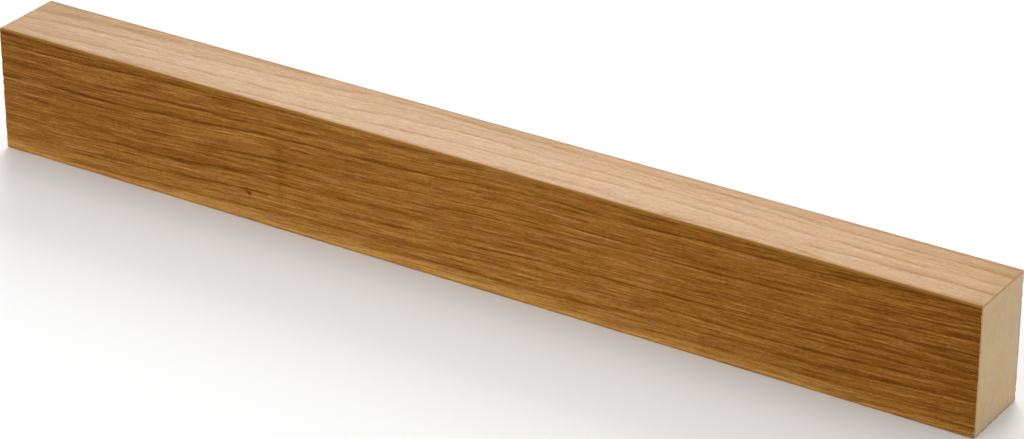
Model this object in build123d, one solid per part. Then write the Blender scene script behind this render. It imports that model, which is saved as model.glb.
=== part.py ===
"""Short sawn length of a rectangular threshold strip: an MDF bar with an oak leaf glued to each long face.

Frame: millimetres, +X along the length, front face at -Y, +Z up, and the origin at the centre of the underside.
"""

from build123d import *
import os

# Driving dimensions
LENGTH = 371.0
DEPTH = 28.0
HEIGHT = 45.0
VENEER = 0.6
GLUE_FILM = 0.1
ARRIS_RADIUS = 0.5

# Each long face of the core is covered by one glue film and one oak leaf.
COVERING = VENEER + GLUE_FILM
CORE_DEPTH = DEPTH - 2 * COVERING
CORE_HEIGHT = HEIGHT - 2 * COVERING

# Distances from the bar's long axis to the middle of each layer
FILM_Y = (CORE_DEPTH + GLUE_FILM) / 2
FILM_Z = (CORE_HEIGHT + GLUE_FILM) / 2
LEAF_Y = (DEPTH - VENEER) / 2
LEAF_Z = (HEIGHT - VENEER) / 2


def layer(depth, height, y=0.0, z=0.0):
    """One layer of the bar: a rectangle of the cross-section, sawn square at both ends.

    y and z place the rectangle from the bar's long axis. The finished section trims it, which rounds the
    arrises of the top and bottom leaves.
    """
    finished = RectangleRounded(DEPTH, HEIGHT, ARRIS_RADIUS)
    section = finished & Pos(y, z) * Rectangle(depth, height)
    bar = extrude(Plane.YZ * section, amount=LENGTH / 2, both=True)
    return Pos(0, 0, HEIGHT / 2) * bar


def core():
    """The plain MDF bar that everything is glued to."""
    return {"mdf_core": layer(CORE_DEPTH, CORE_HEIGHT)}


def side_layers(side, outward):
    """Film and leaf of the front (outward -1) or back (outward +1), which are as tall as the core."""
    return {
        f"{side}_glue_line": layer(GLUE_FILM, CORE_HEIGHT, y=outward * FILM_Y),
        f"{side}_veneer": layer(VENEER, CORE_HEIGHT, y=outward * LEAF_Y),
    }


def edge_layers(side, outward):
    """Film and leaf of the top (outward +1) or bottom (outward -1), which lap the side leaves' edges."""
    return {
        f"{side}_glue_line": layer(DEPTH, GLUE_FILM, z=outward * FILM_Z),
        f"{side}_veneer": layer(DEPTH, VENEER, z=outward * LEAF_Z),
    }


nodes = {
    **core(),
    **side_layers("front", -1),
    **side_layers("back", 1),
    **edge_layers("top", 1),
    **edge_layers("bottom", -1),
}

os.makedirs("parts", exist_ok=True)
for name, shape in nodes.items():
    export_step(shape, f"parts/{name}.step")
    print(f"{name:18s} {shape.volume / 1000:9.3f} cm3")
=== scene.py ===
"""Looks of the threshold strip: four oak leaves on a fibreboard core, standing on a pale studio floor."""
import math

import bpy
import numpy as np
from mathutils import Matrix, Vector


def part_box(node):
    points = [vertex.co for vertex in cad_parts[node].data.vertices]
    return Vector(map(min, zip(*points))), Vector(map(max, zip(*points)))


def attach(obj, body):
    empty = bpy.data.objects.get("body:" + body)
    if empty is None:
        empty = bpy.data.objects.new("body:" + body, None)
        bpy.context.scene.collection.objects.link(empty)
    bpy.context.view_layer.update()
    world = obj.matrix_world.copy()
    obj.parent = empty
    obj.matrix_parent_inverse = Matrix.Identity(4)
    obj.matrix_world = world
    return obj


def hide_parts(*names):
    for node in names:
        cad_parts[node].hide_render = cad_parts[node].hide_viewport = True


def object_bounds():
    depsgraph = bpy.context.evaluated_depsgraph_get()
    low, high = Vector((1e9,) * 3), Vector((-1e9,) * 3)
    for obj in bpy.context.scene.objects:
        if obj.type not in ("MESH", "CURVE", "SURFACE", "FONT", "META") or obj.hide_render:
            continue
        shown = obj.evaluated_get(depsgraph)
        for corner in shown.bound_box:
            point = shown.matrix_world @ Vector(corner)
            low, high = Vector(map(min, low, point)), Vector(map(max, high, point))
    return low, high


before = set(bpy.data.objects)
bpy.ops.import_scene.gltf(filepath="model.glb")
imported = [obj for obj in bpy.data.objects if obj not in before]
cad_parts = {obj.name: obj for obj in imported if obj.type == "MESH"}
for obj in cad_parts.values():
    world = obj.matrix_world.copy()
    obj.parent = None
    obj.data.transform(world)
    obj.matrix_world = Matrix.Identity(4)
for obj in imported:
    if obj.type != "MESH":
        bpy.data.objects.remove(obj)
cad_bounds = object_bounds()

MM = 0.001
BODY = "root"
BLACK = (0.0, 0.0, 0.0)

# Each long face of the strip: the axis that it faces along, 0 for y or 1 for z, and which way
SIDES = {"front": (0, -1), "back": (0, 1), "top": (1, 1), "bottom": (1, -1)}

# The strip's own measures, in millimetres. The back leaf is as tall as the front one.
LOW, HIGH = (np.array(corner) / MM for corner in cad_bounds)
LENGTH, DEPTH, HEIGHT = HIGH - LOW
FRONT_LOW, FRONT_HIGH = (np.array(corner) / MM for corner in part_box("front_veneer"))
ARRIS_RADIUS = 0.5

# Mesh steps: along a leaf, across a leaf or the core's ends, both in millimetres, and round an arris
STEP_ALONG = 1.0
STEP_ACROSS = 0.25
ARRIS_STEPS = 6

# Relief and wear, in millimetres: how deep pores, growth lines and chips go, and how far an arris is rubbed
PORE_DEPTH = 0.035
LINE_DEPTH = 0.012
CHIP_DEPTH = 0.25
RUB_REACH = 0.80

# Middle of the blade that sawed the ends, as (y, z) in millimetres
BLADE_CENTRE = (70, -60)

# Pores: square millimetres of leaf for each, and the mesh columns that one may reach on either side
AREA_PER_PORE = 9
PORE_COLUMNS = 4

# Growth lines: their drawn width against the half-widths below, and how far they run past each end
LINE_SPREAD = 0.66
OVERRUN = 5

# Darkness of oak: between growth lines, and at the two ends of the scale of its colours
PLAIN_WOOD = 0.42
PALEST, DARKEST = -0.5, 1.5

# How far each leaf lies from the one before it in the noise, so that no two have the same streaks
NEXT_LEAF = 37.0

# ---------------------------------------------------------------- wood figure
# Each growth line: darkness, half-width, and the points (along from the left end, across from the leaf's
# upper or rear edge) that it passes through, in millimetres.
FRONT_LINES = [
    (0.55, 0.70, [(-5, 1.3), (30, 1.2), (40, 0.8)]),
    (0.95, 0.45, [(-5, 5.5), (12, 5.1), (37, 4.3), (70, 2.8), (95, 1.9), (125, 0.6), (140, -0.4)]),
    (0.40, 0.60, [(-5, 8.9), (25, 8.6), (32, 8.7)]),
    (0.60, 0.50, [(50, 7.9), (65, 7.5), (90, 6.0), (110, 4.5), (145, 3.2), (172, 1.6), (180, 0.8)]),
    (0.75, 0.60, [(-5, 12.3), (18, 11.6), (50, 10.9), (68, 9.8), (100, 9.0), (117, 7.7), (135, 6.8),
                  (154, 6.6)]),
    (1.10, 0.50, [(-5, 17.5), (15, 16.7), (45, 16.2), (72, 14.7), (93, 13.3), (108, 11.7), (128, 11.0),
                  (155, 10.0), (178, 9.0), (203, 6.7), (222, 5.7), (255, 6.0), (275, 4.6), (305, 4.3),
                  (325, 3.7), (350, 1.8), (376, 0.4)]),
    (0.40, 0.45, [(8, 19.7), (40, 19.3), (72, 18.9)]),
    (0.55, 0.40, [(12, 24.0), (30, 23.8)]),
    (0.95, 0.50, [(42, 23.8), (60, 22.8), (85, 21.8), (102, 20.7), (120, 19.1), (145, 18.2), (166, 17.0),
                  (174, 17.4)]),
    (0.50, 0.40, [(2, 26.9), (15, 26.2), (30, 25.7)]),
    (0.75, 0.50, [(76, 25.9), (90, 25.2), (110, 24.0), (135, 22.5), (160, 21.3), (177, 20.3), (192, 18.2),
                  (205, 17.7), (222, 16.8), (245, 15.8), (270, 14.7), (290, 14.2), (316, 13.2)]),
    (0.70, 0.35, [(-5, 28.9), (10, 28.1), (29, 27.9)]),
    (0.62, 0.70, [(-5, 33.5), (20, 33.0), (40, 31.4), (62, 30.7), (80, 29.8), (90, 28.5), (115, 27.9),
                  (140, 26.8), (160, 25.7), (180, 25.0), (195, 23.4), (220, 22.0), (232, 21.8)]),
    (0.40, 0.60, [(30, 33.3), (52, 32.1), (72, 31.2), (90, 30.3), (118, 29.0)]),
    (0.80, 0.50, [(38, 37.4), (58, 36.6), (80, 35.5), (105, 33.4), (125, 33.2), (145, 32.3), (170, 30.7),
                  (192, 30.0), (210, 28.8), (228, 27.8), (250, 27.3), (280, 26.2), (300, 25.7),
                  (320, 24.5), (343, 23.8), (376, 22.6)]),
    (0.40, 0.70, [(-5, 40.0), (15, 38.4), (30, 37.9)]),
    (0.80, 0.50, [(25, 42.9), (45, 42.5), (75, 41.3), (95, 40.2), (120, 39.2), (142, 38.0), (165, 37.0),
                  (182, 35.3), (205, 33.8), (220, 34.2), (250, 32.6), (285, 31.9), (312, 31.7),
                  (335, 30.0), (355, 28.8), (376, 28.2)]),
    (0.90, 0.58, [(145, 42.3), (160, 41.2), (178, 39.8), (210, 39.4), (235, 38.5), (262, 36.8),
                  (290, 36.1), (318, 35.9), (335, 34.8), (350, 33.2), (376, 32.1)]),
    (0.55, 0.35, [(225, 44.0), (245, 43.3), (254, 42.8)]),
    (0.55, 0.50, [(240, 41.9), (268, 40.6), (290, 40.2), (325, 40.0), (345, 39.0), (376, 37.7)]),
    (0.40, 0.35, [(325, 43.7), (345, 42.2), (376, 41.5)]),
    (0.75, 0.50, [(207, 13.6), (230, 12.9), (250, 12.8), (265, 12.2), (298, 11.9), (312, 11.1),
                  (325, 11.8), (350, 9.9), (376, 8.7)]),
    (0.70, 0.45, [(318, 14.6), (340, 13.6), (355, 12.6), (376, 11.2)]),
    (0.55, 0.40, [(236, 1.6), (245, 1.2), (253, 1.0)]),
    (0.45, 0.40, [(190, 3.1), (208, 3.0), (222, 1.9), (232, 1.6)]),
    (0.55, 0.30, [(167, 7.9), (177, 7.3)]),
    (0.60, 0.35, [(212, 10.0), (222, 9.8), (233, 9.4)]),
    (0.40, 0.35, [(238, 8.5), (268, 7.5), (285, 7.3)]),
    (0.45, 0.40, [(248, 19.9), (268, 19.2), (290, 18.6)]),
    (0.45, 0.45, [(295, 17.4), (330, 17.3), (350, 16.3)]),
    (0.85, 0.45, [(328, 19.1), (350, 18.4), (364, 17.1), (376, 16.4)]),
    (0.50, 0.50, [(275, 22.3), (300, 21.9), (325, 21.1), (350, 20.3), (376, 19.4)]),
    (0.40, 0.40, [(218, 24.7), (240, 24.0), (292, 23.5)]),
    (0.65, 0.40, [(308, 28.2), (325, 27.5), (343, 26.5), (360, 25.5), (376, 24.8)]),
    (0.40, 0.40, [(280, 28.8), (305, 28.3)]),
    (0.40, 0.35, [(205, 31.3), (245, 30.7)]),
    (0.45, 0.35, [(108, 15.9), (125, 15.4), (150, 13.7), (178, 12.9), (205, 11.2)]),
]
TOP_LINES = [
    (0.80, 1.61, [(-5, 8.9), (8, 8.3), (14, 7.3), (22, 7.0), (35, 5.9), (50, 5.2), (60, 4.4), (70, 3.7),
                  (80, 2.8), (100, 2.2), (118, 1.4)]),
    (0.60, 0.70, [(-5, 1.3), (20, 1.3)]),
    (0.72, 0.98, [(-5, 15.9), (3, 15.2), (8, 14.2), (20, 13.0), (30, 12.3), (42, 11.3), (55, 10.7),
                  (72, 10.5), (87, 9.0), (100, 8.4)]),
    (0.45, 0.70, [(2, 19.0), (14, 18.6), (22, 17.2), (35, 15.8), (47, 14.8), (60, 14.2), (80, 13.4),
                  (105, 12.7), (114, 12.7)]),
    (0.80, 0.84, [(6, 23.9), (20, 23.4), (28, 22.7), (40, 21.9), (50, 21.2), (60, 20.4), (70, 19.4),
                  (80, 19.3), (95, 18.4), (110, 18.2), (120, 17.9), (127, 17.1), (136, 16.5), (142, 15.4),
                  (150, 13.8), (158, 13.2), (170, 12.4), (177, 11.3), (185, 11.5), (196, 11.6),
                  (210, 12.2), (225, 12.5), (240, 12.3), (255, 12.8), (280, 13.1), (292, 13.3),
                  (299, 13.8), (303, 14.6), (310, 14.4)]),
    (0.80, 0.84, [(45, 26.8), (62, 26.2), (75, 25.7), (90, 25.4), (105, 24.6), (115, 24.1), (122, 24.1),
                  (132, 23.2), (147, 22.3), (153, 21.2), (168, 20.3), (180, 18.8), (190, 19.0),
                  (202, 18.5), (215, 18.1), (228, 17.2), (240, 16.7), (255, 17.0), (273, 17.7),
                  (284, 18.0), (297, 19.6)]),
    (0.86, 1.05, [(98, 8.3), (112, 7.2), (125, 6.4), (132, 4.9), (136, 3.8), (150, 3.6), (175, 4.0),
                  (205, 4.5), (220, 4.6), (235, 5.1), (262, 5.5), (272, 4.9), (290, 4.9), (298, 5.4),
                  (306, 6.3), (313, 6.9), (340, 6.9), (352, 6.6), (376, 6.3)]),
    (0.50, 0.63, [(114, 10.9), (130, 9.9), (140, 8.7), (150, 7.6), (158, 6.9), (180, 7.2), (215, 7.6),
                  (235, 7.7), (247, 7.9), (262, 8.4), (296, 8.5), (304, 9.0), (313, 9.7), (343, 9.7),
                  (360, 9.4)]),
    (0.95, 0.77, [(302, 14.6), (320, 14.1), (330, 14.1), (342, 14.6), (350, 13.9), (362, 13.7),
                  (376, 13.4)]),
    (1.25, 0.98, [(305, 21.4), (316, 20.8), (323, 20.2), (329, 19.7), (337, 20.0), (344, 19.9),
                  (350, 19.1), (358, 19.2), (366, 19.6), (376, 19.8)]),
    (0.75, 1.26, [(194, 27.0), (205, 26.2), (215, 25.0), (226, 23.9), (237, 24.3), (246, 24.9),
                  (256, 26.4)]),
    (0.85, 0.98, [(258, 26.9), (275, 26.1), (284, 25.7), (290, 24.8), (297, 25.3), (303, 24.9),
                  (309, 25.8), (320, 26.8)]),
    (0.70, 0.77, [(310, 1.4), (340, 1.3), (376, 1.3)]),
]

# Each flow line: the points of a line that the grain follows. The first is nearest the upper or rear edge.
FRONT_FLOW = [
    [(-5, 5.5), (37, 4.3), (70, 2.8), (125, 0.6), (178, -1.5), (203, -3.6), (255, -5.0), (376, -10)],
    [(-5, 17.5), (45, 16.2), (72, 14.7), (108, 11.7), (155, 10.0), (203, 6.7), (255, 6.0), (325, 3.7),
     (376, 0.4)],
    [(-5, 39.0), (58, 36.6), (105, 33.4), (145, 32.3), (210, 28.8), (250, 27.3), (300, 25.7), (376, 22.6)],
    [(-5, 49.0), (60, 46.5), (120, 43.5), (160, 41.2), (210, 39.4), (262, 36.8), (318, 35.9), (376, 32.1)],
]
TOP_FLOW = [
    [(-5, 8.8), (15, 6.6), (60, 4.0), (95, 2.0), (135, -1.0), (200, -2.0), (300, -1.5), (376, -1.5)],
    [(-5, 24.0), (48, 20.8), (118, 17.5), (147, 14.2), (190, 11.3), (262, 12.2), (306, 13.9), (376, 12.9)],
    [(-5, 30.0), (60, 26.1), (110, 23.8), (168, 19.9), (245, 16.4), (306, 20.4), (376, 19.4)],
]


def sown_lines(rng, width):
    """Growth lines for a leaf that is out of sight: parallel, 3.4 to 6.2 mm apart, rising gently."""
    lines = []
    place = -8.0
    climb = rng.uniform(10, 16)
    while place < width + climb + 4:
        stations = np.linspace(-OVERRUN, LENGTH + OVERRUN, 9)
        wander = np.cumsum(rng.normal(0, 0.35, len(stations)))
        points = [(x, place + w + climb * (0.5 - x / LENGTH)) for x, w in zip(stations, wander)]
        darkness = rng.uniform(0.45, 1.0)
        half_width = rng.uniform(0.4, 0.7)
        lines.append((darkness, half_width, points))
        place += rng.uniform(3.4, 6.2)
    return lines


def sown_flow(lines):
    """The first, a middle and the last of a leaf's own lines."""
    return [lines[k][2] for k in (0, len(lines) // 2, len(lines) - 1)]


# ---------------------------------------------------------------- curves
def bell(offset):
    """1 at zero, and falling off smoothly on both sides."""
    return np.exp(-0.5 * offset**2)


def rise(value, start, end):
    """0 up to start and 1 from end on, with a straight slope between. End may be the smaller one."""
    return np.clip((value - start) / (end - start), 0, 1)


def smooth_path(points, along):
    """Where a growth line lies across a leaf at each place along it, with its corners rounded off."""
    xs, offsets = zip(*points)
    margin, reach, softness = 20, 9, 3.5
    fine = np.arange(along[0] - margin, along[-1] + margin + 1, 1.0)
    kernel = bell(np.arange(-reach, reach + 1) / softness)
    path = np.convolve(np.interp(fine, xs, offsets), kernel / kernel.sum(), mode="same")
    return np.interp(along, fine, path)


def waver(rng, along, wavelength):
    """A smooth random curve from -1 to 1 over a row of places, with its wavelength in millimetres."""
    knots = np.arange(along[0] - wavelength, along[-1] + 2 * wavelength, wavelength)
    place = (along - knots[0]) / wavelength
    low = place.astype(int)
    values = rng.uniform(-1, 1, len(knots) + 1)
    blend = 0.5 - 0.5 * np.cos(math.pi * (place - low))
    return values[low] * (1 - blend) + values[low + 1] * blend


# ---------------------------------------------------------------- fields over a leaf
# A field holds one value for each point of a leaf: its rows go along the leaf, its columns across.
def growth_field(lines, along, across, rng):
    """How dark the growth lines make each point of a leaf.

    A line has a sharp lower edge, fades upwards and has paler wood below it. It is stronger and weaker in
    beads, and both its ends fade out.
    """
    field = np.zeros((len(along), len(across)))
    for darkness, half_width, points in lines:
        from_end = np.minimum(along - points[0][0], points[-1][0] - along)
        fade = rise(from_end, 0, 6.0)
        fade = fade * fade * (3 - 2 * fade)
        beads = 0.95 + 0.40 * waver(rng, along, 13.0) + 0.20 * waver(rng, along, 5.0)
        strength = darkness * fade * beads
        width = LINE_SPREAD * half_width * (1 + 0.3 * waver(rng, along, 23.0))
        centre = smooth_path(points, along) + 0.12 * waver(rng, along, 6.0)
        below = (across[None, :] - centre[:, None]) / width[:, None]
        core = bell(below / np.where(below > 0, 0.75, 1.0))
        shoulder = np.where(below < 0, 0.35 * np.exp(below / 3.2), 0)
        paler = 0.22 * bell((below - 2.2) / 0.9)
        field += strength[:, None] * (np.maximum(core, shoulder) - paler)
    return field


def flow_field(flow_lines, along, across):
    """Across-grain coordinate that stays the same along the grain, from a few lines that follow it."""
    paths = np.array([smooth_path(points, along) for points in flow_lines])
    at_rest = np.array([points[0][1] for points in flow_lines])
    flow = np.empty((len(along), len(across)))
    for i, knots in enumerate(paths.T):
        outside = np.minimum(across - knots[0], 0) + np.maximum(across - knots[-1], 0)
        flow[i] = np.interp(across, knots, at_rest) + outside
    return flow


def pore_field(growth, flow, along, across, rng):
    """Depth from 0 to 1 of the open pores: short thin grooves along the grain, most on the growth lines."""
    pores = np.zeros_like(growth)
    slope = -np.gradient(flow, along, axis=0) / np.maximum(np.gradient(flow, across, axis=1), 0.3)
    chance_on_plain_wood = 0.12
    likely = np.clip(growth, 0, 1) + chance_on_plain_wood
    wanted = int(LENGTH * across[-1] / AREA_PER_PORE)
    while wanted > 0:
        i = rng.integers(len(along))
        j = rng.integers(len(across))
        if rng.uniform() > likely[i, j]:
            continue
        wanted -= 1
        half_length = rng.uniform(1.5, 8.0)
        half_width = rng.uniform(0.13, 0.24)
        depth = rng.uniform(0.35, 1.0)
        start, end = np.searchsorted(along, (along[i] - half_length, along[i] + half_length))
        run = along[start:end] - along[i]
        centre = across[j] + slope[i, j] * run
        taper = np.sqrt(np.clip(1 - (run / half_length) ** 2, 0, 1))
        columns = slice(max(j - PORE_COLUMNS, 0), j + PORE_COLUMNS + 1)
        groove = bell((across[None, columns] - centre[:, None]) / half_width)
        patch = pores[start:end, columns]
        np.maximum(patch, depth * taper[:, None] * groove, out=patch)
    return pores


def torn_edge(rng, across):
    """How far a sawn edge is chipped back at each point across a leaf, in millimetres."""
    fuzz = np.abs(rng.normal(0, 0.035, len(across)))
    chips = np.clip(waver(rng, across, 1.4), 0, 1) * np.clip(waver(rng, across, 4.0) + 0.4, 0, 1)
    return fuzz + CHIP_DEPTH * chips


def no_tone(along, across):
    """A leaf whose tone is the same all over."""
    return np.zeros((len(along), len(across)))


def front_tone(along, across):
    """How much paler each point of the front leaf is.

    Its lower edge is paler, partly from a paler band of the wood and partly as painted light that makes up
    for the floor's shade there. Its two ends are darker with painted shade, where the lamps' light falls
    off, and its upper edge is darker. It has a faint mark across the grain and a dark speck.
    """
    x = along[:, None]
    depth = across[None, :]
    # Painted light: the lower band is partly the wood's own paler band and partly painted light against the
    # floor's shade.
    lower_edge_and_painted_light = 0.17 * rise(depth, 24, 38) + 0.58 * rise(depth, 38.5, 44) ** 1.5
    lower_edge_and_painted_light = lower_edge_and_painted_light * (1.12 - 0.35 * x / LENGTH)
    # Painted shade: both ends are darker where the lamps' light falls off.
    left_end_shade = 0.16 * rise(x, 110, 0)
    right_end_shade = 0.25 * rise(x, 230, 370) ** 1.3 + 0.11 * rise(x, 355, 371)
    upper_edge = 0.12 * rise(depth, 6, 2)
    mark_x = 116.8
    mark = 0.17 * bell((x - mark_x) / 1.2) * rise(depth, 3, 15) * rise(depth, 40, 32)
    speck_x, speck_depth = 103.6, 34.7
    speck_lean = (depth - speck_depth) - 0.60 * (x - speck_x)
    speck = 1.8 * bell((x - speck_x) / 0.50) * bell(speck_lean / 0.42)
    return lower_edge_and_painted_light - left_end_shade - right_end_shade - upper_edge - mark - speck


def top_tone(along, across):
    """How much paler and glossier each point of the top leaf is: less at its rear edge and its ends."""
    x = along[:, None]
    rear_edge = 0.15 * rise(across[None, :], 13, 5)
    # Painted shade: the ends are darker in colour, and duller, where the lamps' light falls off.
    left_end_shade = 0.03 * rise(x, 90, 10)
    right_end_shade = 0.05 * rise(x, 250, 370) + 0.05 * rise(x, 325, 340) + 0.10 * rise(x, 361, 369)
    return -rear_edge - left_end_shade - right_end_shade


def top_painted_shade(along, across):
    """Painted shade: share by which each point of the top leaf is darker in colour, most at its left end."""
    painted_shade = 0.04 * rise(along, 220, 180) + 0.085 * rise(along, 110, 10)
    return np.outer(painted_shade, np.ones(len(across)))


def bottom_painted_light(along, across):
    """Painted light on the bottom leaf: how much paler its arrises are, against the floor's shade under
    them.
    """
    from_arris = np.minimum(across - across[0], across[-1] - across)
    return np.tile(0.5 * rise(from_arris, 1.5, 0.5), (len(along), 1))


# ---------------------------------------------------------------- sections of the leaves
def side_section(outward):
    """Show face of a front or back leaf in section, from its upper to its lower edge, as (y, z) points."""
    low, high = FRONT_LOW[2], FRONT_HIGH[2]
    zs = np.append(np.arange(high, low, -STEP_ACROSS), low)
    return np.stack([np.full_like(zs, outward * DEPTH / 2), zs], axis=1)


def edge_section(outward):
    """Outer edge of a top or bottom leaf in section, from its rear to its front arris, as (y, z) points."""
    face = HEIGHT / 2 + outward * HEIGHT / 2
    flat = DEPTH / 2 - ARRIS_RADIUS
    turn = np.linspace(math.pi / 2, 0, ARRIS_STEPS + 1)[:-1]
    arris_y = DEPTH / 2 - ARRIS_RADIUS * (1 - np.sin(turn))
    arris_z = face - outward * ARRIS_RADIUS * (1 - np.cos(turn))
    flat_y = np.linspace(flat, -flat, round(2 * flat / STEP_ACROSS) + 1)
    flat_z = np.full_like(flat_y, face)
    ys = np.concatenate([arris_y, flat_y, -arris_y[::-1]])
    zs = np.concatenate([arris_z, flat_z, arris_z[::-1]])
    return np.stack([ys, zs], axis=1)


def below_edge(section):
    """Distance of each point of a section from the nearer of the strip's top and underside."""
    return np.minimum(section[:, 1], HEIGHT - section[:, 1])


def rubbed(section):
    """How rubbed each point of a section is: most on an arris, and a little on the faces beside it."""
    from_side = DEPTH / 2 - np.abs(section[:, 0])
    return bell(np.maximum(from_side, below_edge(section)) / RUB_REACH)


def turned_side(section):
    """How far each point of a section faces front or back: 0 on top or underneath, 1 on a side."""
    return np.clip(below_edge(section) / ARRIS_RADIUS, 0, 1) ** 0.5


def section_normals(section, axis, outward):
    """Unit normals of a section's outer edge, pointing out of the wood."""
    step = np.gradient(section, axis=0)
    normal = np.stack([-step[:, 1], step[:, 0]], axis=1)
    normal /= np.linalg.norm(normal, axis=1)[:, None]
    middle = normal[len(normal) // 2, axis]
    return normal if middle * outward > 0 else -normal


# ---------------------------------------------------------------- meshes
def glued_face(node, axis, outward):
    """Where a leaf's glued face lies, from its node's box."""
    low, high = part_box(node)
    corner = low if outward > 0 else high
    return corner[axis + 1] / MM


def glued_rows(grid):
    """The points of a leaf's grid that its glued face keeps.

    These are the whole row at each sawn end, and the two edge points of each row between.
    """
    edges = grid[1:-1][:, [0, -1]]
    return np.concatenate([grid[0], edges.reshape(-1, *grid.shape[2:]), grid[-1]])


def leaf_faces(rows, columns):
    """Faces of a leaf, as those along it and those of its two sawn ends.

    Its vertices are the grid of its show face, row by row, and then what glued_rows keeps of the other.
    """
    glued = []
    start = rows * columns
    for i in range(rows):
        size = columns if i in (0, rows - 1) else 2
        glued.append(list(range(start, start + size)))
        start += size
    long_faces = []
    for i in range(rows - 1):
        first = i * columns
        last = first + columns - 1
        here, ahead = glued[i], glued[i + 1]
        for a in range(first, last):
            long_faces.append((a, a + columns, a + columns + 1, a + 1))
        long_faces.append((*here, *ahead[::-1]))
        long_faces.append((first, here[0], ahead[0], first + columns))
        long_faces.append((last, last + columns, ahead[-1], here[-1]))
    end_faces = []
    for i, way in ((0, 1), (rows - 1, -1)):
        for j in range(columns - 1):
            a = i * columns + j
            end_faces.append((a, a + 1, glued[i][j + 1], glued[i][j])[::way])
    return long_faces, end_faces


def on_vertices(show, glued):
    """Two grids of a leaf, one for each of its faces, as one list in the order of its vertices."""
    return np.concatenate([show.reshape(-1, *show.shape[2:]), glued_rows(glued)])


def set_field(mesh, name, field):
    """Stores a field of a leaf on its mesh, for its material to read."""
    attribute = mesh.attributes.new(name, "FLOAT", "POINT")
    attribute.data.foreach_set("value", on_vertices(field, field).astype(np.float32))


def set_grain(mesh, along, flow, offset):
    """Stores where each point lies in the wood: along the grain, across it, and in which leaf."""
    grain = np.stack([np.tile(along[:, None], flow.shape[1]), flow, np.full_like(flow, offset)], axis=-1)
    attribute = mesh.attributes.new("grain", "FLOAT_VECTOR", "POINT")
    attribute.data.foreach_set("vector", on_vertices(grain, grain).astype(np.float32).ravel())


def leaf_mesh(name, side, show, glued):
    """Mesh of a leaf from the grids of its two faces. Its sawn ends take the leaf's second material."""
    long_faces, end_faces = leaf_faces(*show.shape[:2])
    mesh = bpy.data.meshes.new(name)
    mesh.from_pydata((on_vertices(show, glued) * MM).tolist(), [], long_faces + end_faces)
    # The points of these two sides run the other way round, so their faces would look into the wood.
    if side in ("front", "top"):
        mesh.flip_normals()
    slots = np.zeros(len(mesh.polygons), dtype=np.int32)
    slots[-len(end_faces):] = 1
    mesh.polygons.foreach_set("material_index", slots)
    return mesh


def leaf(name, side, figure, seed, wood, sawn, tone_field=no_tone, painted_shade_field=no_tone):
    """One oak leaf with open pores cut into its show face, sunk growth lines and chipped sawn ends.

    figure is the leaf's growth lines and its flow lines.
    """
    rng = np.random.default_rng(seed)
    node = f"{side}_veneer"
    axis, outward = SIDES[side]
    section = side_section(outward) if axis == 0 else edge_section(outward)
    along = np.arange(0, LENGTH + STEP_ALONG / 2, STEP_ALONG)
    across = np.append(0, np.cumsum(np.linalg.norm(np.diff(section, axis=0), axis=1)))
    across += ((HEIGHT, DEPTH)[axis] - across[-1]) / 2

    lines, flow_lines = figure
    growth = growth_field(lines, along, across, rng)
    flow = flow_field(flow_lines, along, across)
    pores = pore_field(growth, flow, along, across, rng)
    sunk = PORE_DEPTH * pores + LINE_DEPTH * np.clip(growth, 0, 1)

    show = np.empty((len(along), len(across), 3))
    show[:, :, 0] = along[:, None] - LENGTH / 2
    glued = show.copy()
    show[:, :, 1:] = section - sunk[:, :, None] * section_normals(section, axis, outward)
    show[0, :, 0] += torn_edge(rng, across)
    show[-1, :, 0] -= torn_edge(rng, across)
    glued[:, :, 1:] = section
    glued[:, :, 1 + axis] = glued_face(node, axis, outward)

    mesh = leaf_mesh(name, side, show, glued)
    uneven = 0.85 + 0.15 * waver(rng, along, 31.0)
    set_field(mesh, "growth", growth)
    set_field(mesh, "pores", pores)
    set_field(mesh, "tone", tone_field(along, across))
    set_field(mesh, "painted_shade", painted_shade_field(along, across))
    set_field(mesh, "side", np.tile(turned_side(section), (len(along), 1)))
    set_field(mesh, "rub", np.outer(uneven, rubbed(section)))
    set_grain(mesh, along, flow, offset=NEXT_LEAF * seed)
    return finish_piece(mesh, node, (wood, sawn))


def finish_piece(mesh, node, materials):
    """Smooths a mesh, gives it its materials and lets it stand for its CAD node."""
    for material in materials:
        mesh.materials.append(material)
    mesh.polygons.foreach_set("use_smooth", [True] * len(mesh.polygons))
    mesh.set_sharp_from_angle(angle=math.radians(35))
    mesh.update()
    piece = bpy.data.objects.new(mesh.name, mesh)
    bpy.context.scene.collection.objects.link(piece)
    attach(piece, BODY)
    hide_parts(node)
    return piece


def sawn_depth(rng, grid_y, grid_z):
    """How deep the saw left each point of the core's end, in millimetres, with no depth at the rim."""
    tooth_pitch, wobble_pitch = 1.4, 3.7
    turns = 2 * math.pi * np.hypot(grid_y - BLADE_CENTRE[0], grid_z - BLADE_CENTRE[1])
    marks = np.sin(turns / tooth_pitch) + 0.6 * np.sin(turns / wobble_pitch + 1)
    fuzz = rng.normal(0, 1, grid_y.shape)
    depth = np.zeros(grid_y.shape)
    inside = (slice(1, -1), slice(1, -1))
    depth[inside] = np.clip(0.02 + 0.006 * marks + 0.008 * fuzz, 0, None)[inside]
    return depth


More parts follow.
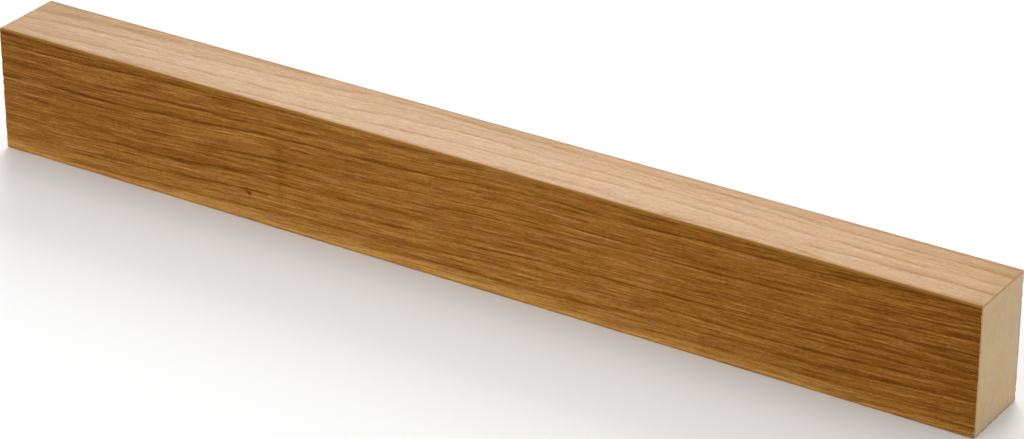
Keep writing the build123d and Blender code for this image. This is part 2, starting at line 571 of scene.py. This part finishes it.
def core_bar():
    """Fibreboard core whose sawn ends have fine saw marks and torn fibres."""
    rng = np.random.default_rng(11)
    low, high = (np.array(corner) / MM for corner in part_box("mdf_core"))
    rows, columns = (int(size / STEP_ACROSS) + 1 for size in (high - low)[1:])
    ys = np.linspace(low[1], high[1], rows)
    zs = np.linspace(low[2], high[2], columns)
    grid_y, grid_z = np.meshgrid(ys, zs, indexing="ij")
    per_end = rows * columns
    verts, faces = [], []
    for end, x in ((-1, low[0]), (1, high[0])):
        grid = np.stack([x - end * sawn_depth(rng, grid_y, grid_z), grid_y, grid_z], axis=-1)
        base = len(verts)
        verts.extend((grid.reshape(-1, 3) * MM).tolist())
        for i in range(rows - 1):
            for j in range(columns - 1):
                a = base + i * columns + j
                faces.append((a, a + columns, a + columns + 1, a + 1)[::end])
    rim = [i * columns for i in range(rows)]
    rim += [(rows - 1) * columns + j for j in range(1, columns)]
    rim += [i * columns + columns - 1 for i in range(rows - 2, -1, -1)]
    rim += list(range(columns - 2, 0, -1))
    for a, b in zip(rim, rim[1:] + rim[:1]):
        faces.append((a, b, b + per_end, a + per_end))
    mesh = bpy.data.meshes.new("core_bar")
    mesh.from_pydata(verts, [], faces)
    return finish_piece(mesh, "mdf_core", (fibreboard,))


# ---------------------------------------------------------------- materials
class Nodes:
    """Short names for building a shader tree."""

    def __init__(self, name):
        self.material = bpy.data.materials.new(name)
        self.material.use_nodes = True
        self.tree = self.material.node_tree
        self.shader = self.tree.nodes["Principled BSDF"]

    def new(self, kind):
        return self.tree.nodes.new(kind)

    def feed(self, socket, value):
        """Links a socket, sets its number, or sets its colour."""
        if isinstance(value, bpy.types.NodeSocket):
            self.tree.links.new(value, socket)
        elif isinstance(value, tuple) and socket.type == "RGBA":
            socket.default_value = (*value, 1.0)
        else:
            socket.default_value = value

    def attribute(self, name, output="Fac"):
        node = self.new("ShaderNodeAttribute")
        node.attribute_name = name
        return node.outputs[output]

    def place(self):
        """Position in the strip's own frame, in metres."""
        return self.new("ShaderNodeTexCoord").outputs["Object"]

    def math(self, operation, a, b):
        node = self.new("ShaderNodeMath")
        node.operation = operation
        self.feed(node.inputs[0], a)
        self.feed(node.inputs[1], b)
        return node.outputs[0]

    def total(self, start, *terms):
        """A starting value, plus each term's value times its weight."""
        for value, weight in terms:
            start = self.math("ADD", start, self.math("MULTIPLY", value, weight))
        return start

    def centred(self, value):
        """A noise value with its middle moved to zero."""
        return self.math("SUBTRACT", value, 0.5)

    def noise(self, vector, scale, detail=1.0, roughness=0.5):
        """Noise from 0 to 1, with one scale for each axis."""
        stretch = self.new("ShaderNodeVectorMath")
        stretch.operation = "MULTIPLY"
        self.feed(stretch.inputs[0], vector)
        self.feed(stretch.inputs[1], scale)
        node = self.new("ShaderNodeTexNoise")
        self.feed(node.inputs["Vector"], stretch.outputs[0])
        self.feed(node.inputs["Scale"], 1.0)
        self.feed(node.inputs["Detail"], detail)
        self.feed(node.inputs["Roughness"], roughness)
        return node.outputs["Fac"]

    def ramp(self, value, stops):
        node = self.new("ShaderNodeValToRGB")
        self.feed(node.inputs["Fac"], value)
        elements = node.color_ramp.elements
        while len(elements) < len(stops):
            elements.new(0.5)
        for element, (position, colour) in zip(elements, stops):
            element.position = position
            element.color = (*colour, 1.0)
        return node.outputs["Color"]

    def remap(self, value, low, high, to_low=0.0, to_high=1.0):
        node = self.new("ShaderNodeMapRange")
        node.clamp = True
        for socket, number in zip(node.inputs, (value, low, high, to_low, to_high)):
            self.feed(socket, number)
        return node.outputs[0]

    def mix(self, factor, a, b, blend="MIX"):
        node = self.new("ShaderNodeMix")
        node.data_type = "RGBA"
        node.blend_type = blend
        factor_socket, a_socket, b_socket = node.inputs[0], node.inputs[6], node.inputs[7]
        self.feed(factor_socket, factor)
        self.feed(a_socket, a)
        self.feed(b_socket, b)
        return node.outputs[2]

    def shifted(self, colour, green, blue):
        """A colour with its green and its blue each changed by a share."""
        node = self.new("ShaderNodeCombineColor")
        self.feed(node.inputs[0], 1.0)
        self.feed(node.inputs[1], self.math("ADD", green, 1.0))
        self.feed(node.inputs[2], self.math("ADD", blue, 1.0))
        return self.mix(1.0, colour, node.outputs[0], blend="MULTIPLY")

    def bump(self, height, distance, strength):
        node = self.new("ShaderNodeBump")
        self.feed(node.inputs["Strength"], strength)
        self.feed(node.inputs["Distance"], distance)
        self.feed(node.inputs["Height"], height)
        return node.outputs["Normal"]

    def surface(self, **values):
        """Sets the shader's sockets and gives the finished material."""
        for name, value in values.items():
            self.feed(self.shader.inputs[name.replace("_", " ")], value)
        return self.material


def oak_material(name, stops, colour_share, growth_share, fine_share, fleck_share, hue_share, gloss, dull,
                 edge=None):
    """Lacquered straight-grained oak. Its figure darkens the colour and dulls the sheen.

    stops are colours, each with its darkness. The shares are how much of the figure goes into the colour,
    and how strong each kind of figure is. gloss and dull are (roughness, specular level) at a darkness of 0
    and of 1. edge is the colour of the leaf's own thickness, where it shows on a side of the strip, made
    darker as painted shade against the strong light that falls on the arris.
    """
    n = Nodes(name)
    grain = n.attribute("grain", "Vector")

    def streaks(length, width, layer, detail=1, roughness=0.5):
        """Noise drawn out along the grain, with a length and width in millimetres. layer picks its slice."""
        return n.noise(grain, (1 / length, 1 / width, layer), detail, roughness)

    broad = streaks(90, 6, layer=1, detail=2)
    streak = streaks(60, 1.1, layer=1, detail=2, roughness=0.75)
    fibre = streaks(22, 0.6, layer=1, roughness=0.7)
    hair = streaks(12, 0.20, layer=1, roughness=0.6)
    fleck = streaks(4, 0.5, layer=4)
    speckle = streaks(1.3, 0.5, layer=6)
    ray = n.remap(streaks(9, 0.7, layer=5), 0.60, 0.74)
    redder = streaks(12, 2.2, layer=3, detail=2)
    duller = streaks(9, 1.8, layer=7, detail=2)

    fine = n.total(
        0.0, (n.centred(streak), 1.0), (n.centred(fibre), 1.0), (n.centred(hair), 0.9),
        (n.attribute("pores"), 0.25), (ray, -0.20),
    )
    flecks = n.total(0.0, (n.centred(fleck), 0.50), (n.centred(speckle), 0.60))
    # tone holds the wood's own paler and darker places and, on the front, top and bottom leaves, painted
    # light and shade.
    dark = n.total(
        PLAIN_WOOD, (n.attribute("growth"), growth_share), (n.attribute("tone"), -1.0),
        (n.centred(broad), 0.16), (fine, fine_share), (flecks, fleck_share),
    )

    tint = n.total(0.5, (n.centred(dark), colour_share))
    places = [((darkness - PALEST) / (DARKEST - PALEST), colour) for darkness, colour in stops]
    colour = n.ramp(n.remap(tint, PALEST, DARKEST), places)
    green = n.math("MULTIPLY", n.centred(redder), -0.14 * hue_share)
    blue = n.math("MULTIPLY", n.centred(duller), 0.55 * hue_share)
    colour = n.shifted(colour, green, blue)
    # Painted shade: darkens the colour towards black by the share that the leaf's field gives.
    colour = n.mix(n.attribute("painted_shade"), colour, BLACK)
    # Partly painted shade: towards the side the arris takes the darker edge colour, against the lamps' light
    # on it.
    if edge:
        colour = n.mix(n.attribute("side"), colour, edge)

    dulled = n.total(dark, (n.attribute("rub"), 0.80))
    relief = n.total(0.0, (fibre, 0.5), (streak, 0.4), (hair, 0.3))
    return n.surface(
        Base_Color=colour,
        Roughness=n.remap(dulled, 0.0, 1.0, gloss[0], dull[0]),
        Specular_IOR_Level=n.remap(dulled, 0.0, 1.0, gloss[1], dull[1]),
        Normal=n.bump(relief, 0.00006, 0.5),
    )


def end_grain_material(name, dark, pale):
    """The sawn edge of a leaf: raw oak, paler than the lacquered face."""
    n = Nodes(name)
    specks = n.noise(n.place(), (2500, 2500, 2500), detail=2)
    return n.surface(
        Base_Color=n.ramp(specks, [(0.3, dark), (0.7, pale)]),
        Roughness=n.remap(specks, 0.2, 0.8, 0.9, 0.7),
        Specular_IOR_Level=0.25,
        Normal=n.bump(specks, 0.00008, 0.5),
    )


def fibreboard_material():
    """Raw sawn fibreboard: fine pale fibres in small clumps, with faint warmer and cooler clouds."""
    n = Nodes("fibreboard")
    place = n.place()
    cloud = n.noise(place, (180, 180, 110), detail=2)
    warmth = n.noise(place, (90, 90, 60))
    clump = n.noise(place, (650, 650, 450))
    fibre = n.noise(place, (1800, 4200, 1700), detail=3, roughness=0.7)
    tint = n.total(0.5, (n.centred(cloud), 0.5), (n.centred(clump), 0.45), (n.centred(fibre), 1.30))
    cool = n.ramp(tint, [
        (0.15, (0.543, 0.388, 0.206)),
        (0.50, (0.598, 0.447, 0.280)),
        (0.85, (0.651, 0.506, 0.352)),
    ])
    warm = n.ramp(tint, [
        (0.15, (0.543, 0.379, 0.172)),
        (0.50, (0.598, 0.435, 0.232)),
        (0.85, (0.651, 0.491, 0.300)),
    ])
    return n.surface(
        Base_Color=n.mix(n.remap(warmth, 0.35, 0.65), cool, warm),
        Roughness=n.remap(fibre, 0.3, 0.7, 0.95, 0.85),
        Specular_IOR_Level=0.2,
        Normal=n.bump(fibre, 0.00006, 0.35),
    )


def glue_material():
    """Cured wood glue, a thin amber-brown line in uneven patches."""
    n = Nodes("glue")
    patches = n.noise(n.place(), (900, 900, 900), detail=2)
    return n.surface(
        Base_Color=n.ramp(patches, [(0.3, (0.30, 0.150, 0.050)), (0.7, (0.41, 0.220, 0.082))]),
        Roughness=n.remap(patches, 0.3, 0.7, 0.60, 0.80),
        Specular_IOR_Level=0.1,
        Normal=n.bump(patches, 0.00003, 0.4),
    )


def floor_material():
    """Plain pale paper."""
    n = Nodes("studio_floor")
    return n.surface(Base_Color=(0.86, 0.86, 0.86), Roughness=0.7, Specular_IOR_Level=0.2)


rich_oak = oak_material(
    "oak",
    [
        (-0.50, (0.725, 0.380, 0.088)),
        (0.00, (0.510, 0.242, 0.052)),
        (0.25, (0.420, 0.180, 0.029)),
        (0.50, (0.327, 0.128, 0.013)),
        (0.75, (0.256, 0.091, 0.006)),
        (1.00, (0.190, 0.062, 0.002)),
        (1.50, (0.112, 0.033, 0.001)),
    ],
    colour_share=1.0, growth_share=0.40, fine_share=1.1, fleck_share=1.1, hue_share=2.6,
    gloss=(0.38, 0.14), dull=(0.50, 0.07),
)
pale_oak = oak_material(
    "pale_oak",
    [
        (0.00, (0.465, 0.237, 0.045)),
        (0.50, (0.372, 0.177, 0.026)),
        (1.00, (0.279, 0.121, 0.014)),
    ],
    colour_share=0.45, growth_share=0.31, fine_share=0.40, fleck_share=1.3, hue_share=3.6,
    gloss=(0.34, 0.28), dull=(0.51, 0.11), edge=(0.315, 0.138, 0.026),
)
warm_end_grain = end_grain_material("oak_end_grain", (0.43, 0.245, 0.092), (0.59, 0.372, 0.158))
grey_end_grain = end_grain_material("grey_oak_end_grain", (0.40, 0.285, 0.160), (0.54, 0.400, 0.245))
fibreboard = fibreboard_material()
glue = glue_material()

# ---------------------------------------------------------------- pieces
leaf("front_leaf", "front", (FRONT_LINES, FRONT_FLOW), 1, rich_oak, warm_end_grain, front_tone)
leaf("top_leaf", "top", (TOP_LINES, TOP_FLOW), 2, pale_oak, warm_end_grain, top_tone, top_painted_shade)
back_lines = sown_lines(np.random.default_rng(5), HEIGHT)
back_figure = (back_lines, sown_flow(back_lines))
leaf("back_leaf", "back", back_figure, 3, rich_oak, grey_end_grain)
bottom_lines = sown_lines(np.random.default_rng(6), DEPTH)
bottom_figure = (bottom_lines, sown_flow(bottom_lines))
leaf("bottom_leaf", "bottom", bottom_figure, 4, rich_oak, grey_end_grain, bottom_painted_light)
core_bar()
for side in SIDES:
    for material_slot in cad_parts[f"{side}_glue_line"].material_slots:
        material_slot.material = glue


# ---------------------------------------------------------------- studio
def floor(half_size):
    """A flat pale floor under the strip."""
    corners = [(-half_size, -half_size, 0), (half_size, -half_size, 0), (half_size, half_size, 0)]
    corners.append((-half_size, half_size, 0))
    mesh = bpy.data.meshes.new("floor")
    mesh.from_pydata(corners, [], [(0, 1, 2, 3)])
    mesh.materials.append(floor_material())
    piece = bpy.data.objects.new("floor", mesh)
    bpy.context.scene.collection.objects.link(piece)


def softbox(name, place, size, aim, spread, power):
    """A square lamp that faces the strip. A spread under 180 degrees is a grid on its front."""
    data = bpy.data.lights.new(name, "AREA")
    data.shape = "SQUARE"
    data.size = size
    data.spread = math.radians(spread)
    data.energy = power
    lamp = bpy.data.objects.new(name, data)
    bpy.context.scene.collection.objects.link(lamp)
    lamp.location = place
    towards = Vector(aim) - Vector(place)
    lamp.rotation_euler = towards.to_track_quat("-Z", "Y").to_euler()


def studio_world(strength):
    """Even white light from all round."""
    world = bpy.data.worlds.new("studio")
    world.use_nodes = True
    background = world.node_tree.nodes["Background"]
    background.inputs["Color"].default_value = (1.0, 1.0, 1.0, 1.0)
    background.inputs["Strength"].default_value = strength
    bpy.context.scene.world = world


def camera(place, elevation, azimuth, lens):
    """Looks down at the strip by its elevation, turned from the front by its azimuth, both in degrees."""
    data = bpy.data.cameras.new("camera")
    data.sensor_width = 36.0
    data.lens = lens
    data.clip_end = 50.0
    view = bpy.data.objects.new("camera", data)
    bpy.context.scene.collection.objects.link(view)
    view.location = place
    view.rotation_euler = (math.radians(90 - elevation), 0, math.radians(azimuth))
    bpy.context.scene.camera = view


floor(half_size=6.0)
studio_world(strength=0.50)
softbox("back_softbox", (-1.00, 1.90, 1.15), size=1.5, aim=(0.0, 0.0, 0.04), spread=180, power=43)
softbox("key_softbox", (-0.15, -0.75, 0.80), size=0.4, aim=(-0.02, 0.0, 0.02), spread=60, power=0.26)
softbox("right_softbox", (1.60, -0.10, 0.90), size=1.2, aim=(0.1, 0.0, 0.02), spread=180, power=4)
softbox("top_softbox", (-0.10, 0.30, 1.50), size=1.0, aim=(0.0, 0.0, 0.0), spread=120, power=3)
camera((0.58991, -0.90208, 0.56640), elevation=27.02, azimuth=32.61, lens=131.63)
bpy.context.scene.view_settings.view_transform = "Standard"
